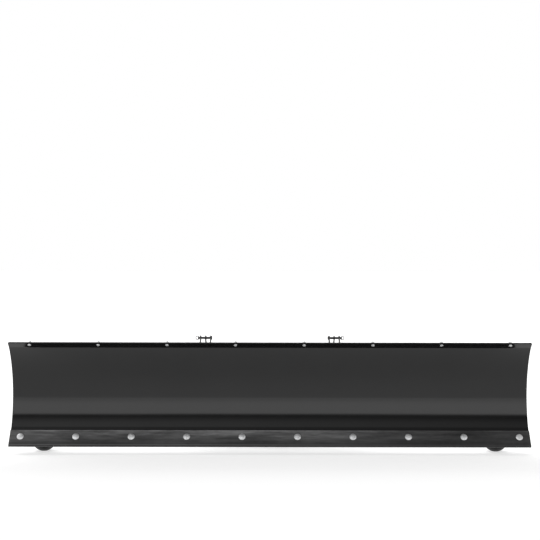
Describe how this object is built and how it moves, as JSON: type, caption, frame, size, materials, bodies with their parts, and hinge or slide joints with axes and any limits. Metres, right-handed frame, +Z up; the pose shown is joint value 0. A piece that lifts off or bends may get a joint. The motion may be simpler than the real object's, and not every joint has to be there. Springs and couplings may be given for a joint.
{
  "type": "snow plow blade",
  "caption": "Curved snow plow blade for a utility vehicle, on a spring trip frame with a king pin swivel and height-set skid shoes.",
  "frame": {"origin": "the middle of the king pin's bore, between the two swivel plates", "axes": "+X across the blade, +Y backwards, so that the blade faces -Y, and +Z up along the king pin; left is -X, as seen from the front"},
  "size_m": [1.829, 0.3723, 0.4135],
  "materials": {
    "blade_paint": "gloss black powder coat",
    "wear_bar_paint": "black paint over hot-rolled bar, slightly rubbed",
    "frame_paint": "satin black powder coat",
    "shoe_coat": "satin black coat",
    "zinc_plate": "clear zinc plate",
    "spring_wire": "bright spring wire",
    "spring_coat": "black coated spring steel",
    "cap_plastic": "black moulded end cap"
  },
  "bodies": {
    "trip_frame": {"crossbar": "frame_paint", "crossbar_caps": "cap_plastic", "pivot_lugs": "frame_paint", "stop_pads": "frame_paint", "eyebolt_nuts": "zinc_plate", "upper_swivel_plate": "frame_paint", "lower_swivel_plate": "frame_paint", "upper_king_bush": "frame_paint", "lower_king_bush": "frame_paint", "left_pivot_boss": "frame_paint", "left_spring_bracket": "frame_paint", "left_eyebolt": "zinc_plate", "right_pivot_boss": "frame_paint", "right_spring_bracket": "frame_paint", "right_eyebolt": "zinc_plate"},
    "left_spring": {"left_trip_spring": "spring_coat"},
    "left_spring_end": {"left_spring_hook": "spring_coat"},
    "left_shoe_lift": {"left_lower_washers": "zinc_plate"},
    "left_shoe": {"left_shoe_foot": "shoe_coat", "left_shoe_stem": "shoe_coat", "left_shoe_clip": "spring_wire"},
    "right_spring": {"right_trip_spring": "spring_coat"},
    "right_spring_end": {"right_spring_hook": "spring_coat"},
    "right_shoe_lift": {"right_lower_washers": "zinc_plate"},
    "right_shoe": {"right_shoe_foot": "shoe_coat", "right_shoe_stem": "shoe_coat", "right_shoe_clip": "spring_wire"},
    "blade": {"bottom_angle": "blade_paint", "centre_rib": "blade_paint", "left_end_rib": "blade_paint", "left_inner_ear": "blade_paint", "left_inner_rib": "blade_paint", "left_outer_ear": "blade_paint", "left_outer_rib": "blade_paint", "left_pivot_clip": "spring_wire", "left_pivot_pin": "zinc_plate", "left_shoe_sleeve": "blade_paint", "left_spring_pin": "spring_coat", "left_spring_pin_ring": "spring_coat", "left_upper_washers": "zinc_plate", "lip_bar": "blade_paint", "lip_bolts": "zinc_plate", "lip_nuts": "zinc_plate", "moldboard": "blade_paint", "right_end_rib": "blade_paint", "right_inner_ear": "blade_paint", "right_inner_rib": "blade_paint", "right_outer_ear": "blade_paint", "right_outer_rib": "blade_paint", "right_pivot_clip": "spring_wire", "right_pivot_pin": "zinc_plate", "right_shoe_sleeve": "blade_paint", "right_spring_pin": "spring_coat", "right_spring_pin_ring": "spring_coat", "right_upper_washers": "zinc_plate", "sleeve_straps": "blade_paint", "top_tube": "blade_paint", "wear_bar": "wear_bar_paint", "wear_bar_bolts": "zinc_plate", "wear_bar_nuts": "zinc_plate"}
  },
  "joints": [
    {"name": "trip_hinge", "type": "hinge", "parent": "trip_frame", "child": "blade", "pos_m": [0, -0.122, 0], "axis": [1, 0, 0], "range_deg": [0, 45], "stiffness_Nm_per_rad": 154, "springref_deg": -71.62, "deforming": ["left_trip_spring", "left_spring_hook", "right_trip_spring", "right_spring_hook"]},
    {"name": "left_spring_swing", "type": "hinge", "parent": "trip_frame", "child": "left_spring", "pos_m": [-0.229, -0.00663, 0.07578], "axis": [1, 0, 0], "range_deg": [0, 37.5]},
    {"name": "left_spring_stretch", "type": "slide", "parent": "left_spring", "child": "left_spring_end", "axis": [0, -0.6029, 0.7978], "range_m": [0, 0.1]},
    {"name": "right_spring_swing", "type": "hinge", "parent": "trip_frame", "child": "right_spring", "pos_m": [0.229, -0.00663, 0.07578], "axis": [1, 0, 0], "range_deg": [0, 37.5]},
    {"name": "right_spring_stretch", "type": "slide", "parent": "right_spring", "child": "right_spring_end", "axis": [0, -0.6029, 0.7978], "range_m": [0, 0.1]},
    {"name": "left_shoe_lift", "type": "slide", "parent": "blade", "child": "left_shoe_lift", "axis": [0, 0, 1], "range_m": [0, 0.0095]},
    {"name": "left_shoe_swivel", "type": "hinge", "parent": "left_shoe_lift", "child": "left_shoe", "pos_m": [-0.8075, -0.138, 0], "axis": [0, 0, 1], "continuous": true},
    {"name": "right_shoe_lift", "type": "slide", "parent": "blade", "child": "right_shoe_lift", "axis": [0, 0, 1], "range_m": [0, 0.0095]},
    {"name": "right_shoe_swivel", "type": "hinge", "parent": "right_shoe_lift", "child": "right_shoe", "pos_m": [0.8075, -0.138, 0], "axis": [0, 0, 1], "continuous": true}
  ],
  "couplings": [
    {"joint": "left_spring_swing", "follows": "trip_hinge", "ratio": 0.8221},
    {"joint": "left_spring_stretch", "follows": "trip_hinge", "m_per_rad": 0.12477},
    {"joint": "right_spring_swing", "follows": "trip_hinge", "ratio": 0.8221},
    {"joint": "right_spring_stretch", "follows": "trip_hinge", "m_per_rad": 0.12477}
  ]
}
